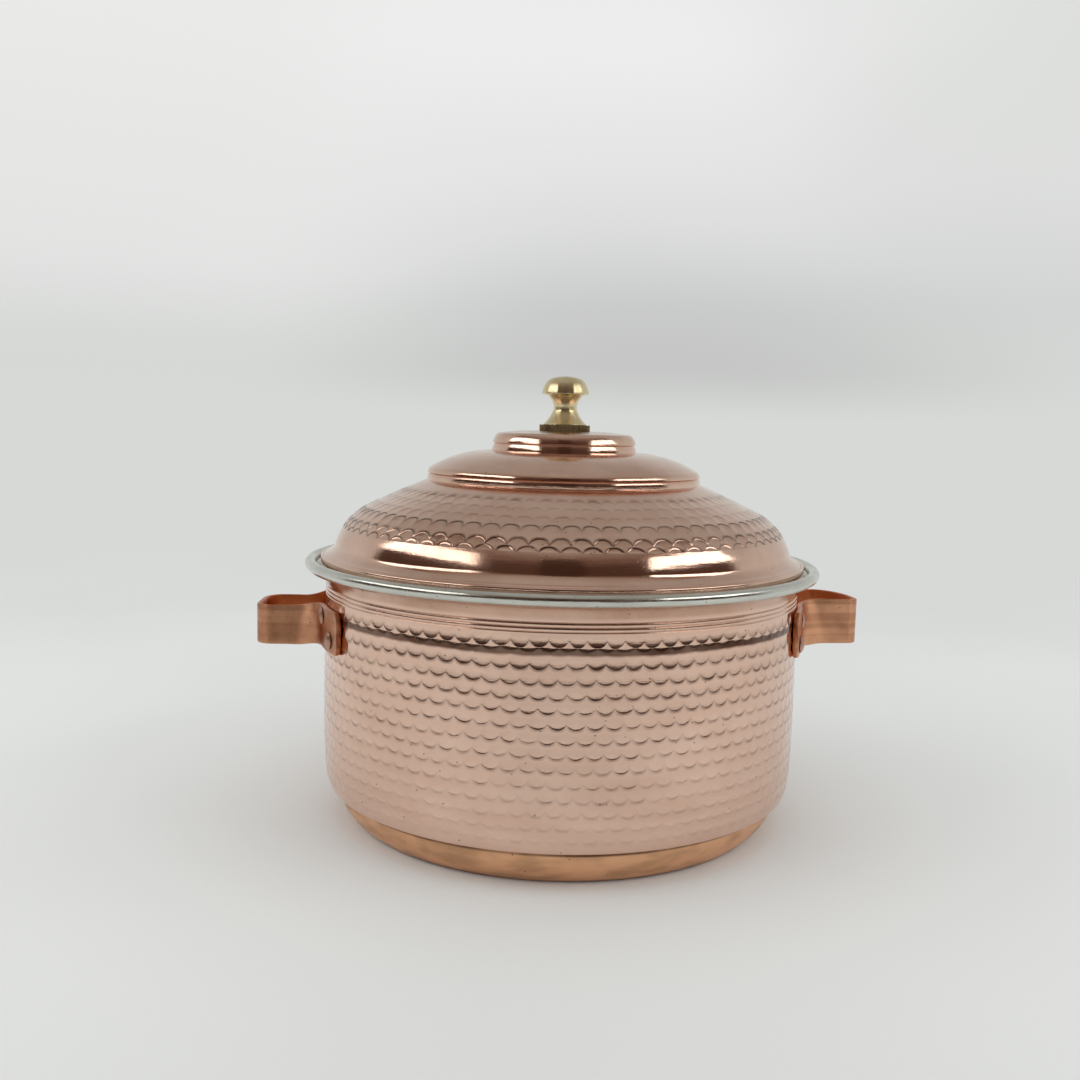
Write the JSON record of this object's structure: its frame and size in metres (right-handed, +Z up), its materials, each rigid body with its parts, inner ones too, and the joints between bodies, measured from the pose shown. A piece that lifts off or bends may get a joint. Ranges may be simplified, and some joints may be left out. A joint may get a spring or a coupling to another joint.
{
  "type": "lidded copper pot",
  "caption": "Round hammered copper serving pot with a rolled tinned rim, two riveted strap handles and a domed lid that lifts off by its brass knob.",
  "frame": {"origin": "middle of the flat base, on the surface the pot stands on", "axes": "+Z up the axis of the pot and lid, X from handle to handle, -Y the side the picture is taken from"},
  "size_m": [0.307, 0.26, 0.2234],
  "materials": {
    "copper_pot": "polished copper, hammered; the plain base cup is brushed",
    "copper_lid": "polished copper, hammered on the dome",
    "copper_strap": "brushed brown copper strap",
    "copper_rivet": "brown copper",
    "tin": "wiped bright tin",
    "brass": "turned polished brass",
    "dark_bronze": "dark knurled bronze",
    "steel": "plain steel"
  },
  "bodies": {
    "pot": {"pot_body": "copper_pot", "pot_lining": "tin", "rim_wire": "steel", "handle_left": "copper_strap", "handle_right": "copper_strap", "rivet_left_front_inner": "copper_rivet", "rivet_left_front_outer": "copper_rivet", "rivet_left_rear_inner": "copper_rivet", "rivet_left_rear_outer": "copper_rivet", "rivet_right_front_inner": "copper_rivet", "rivet_right_front_outer": "copper_rivet", "rivet_right_rear_inner": "copper_rivet", "rivet_right_rear_outer": "copper_rivet"},
    "lid": {"lid_shell": "copper_lid", "lid_lining": "tin", "lid_knob": "brass", "knob_collar": "dark_bronze", "knob_screw": "steel", "knob_washer": "steel"}
  },
  "joints": [
    {"name": "lid_lift", "type": "slide", "parent": "pot", "child": "lid", "axis": [0, 0, 1], "range_m": [0, 0.15]}
  ]
}
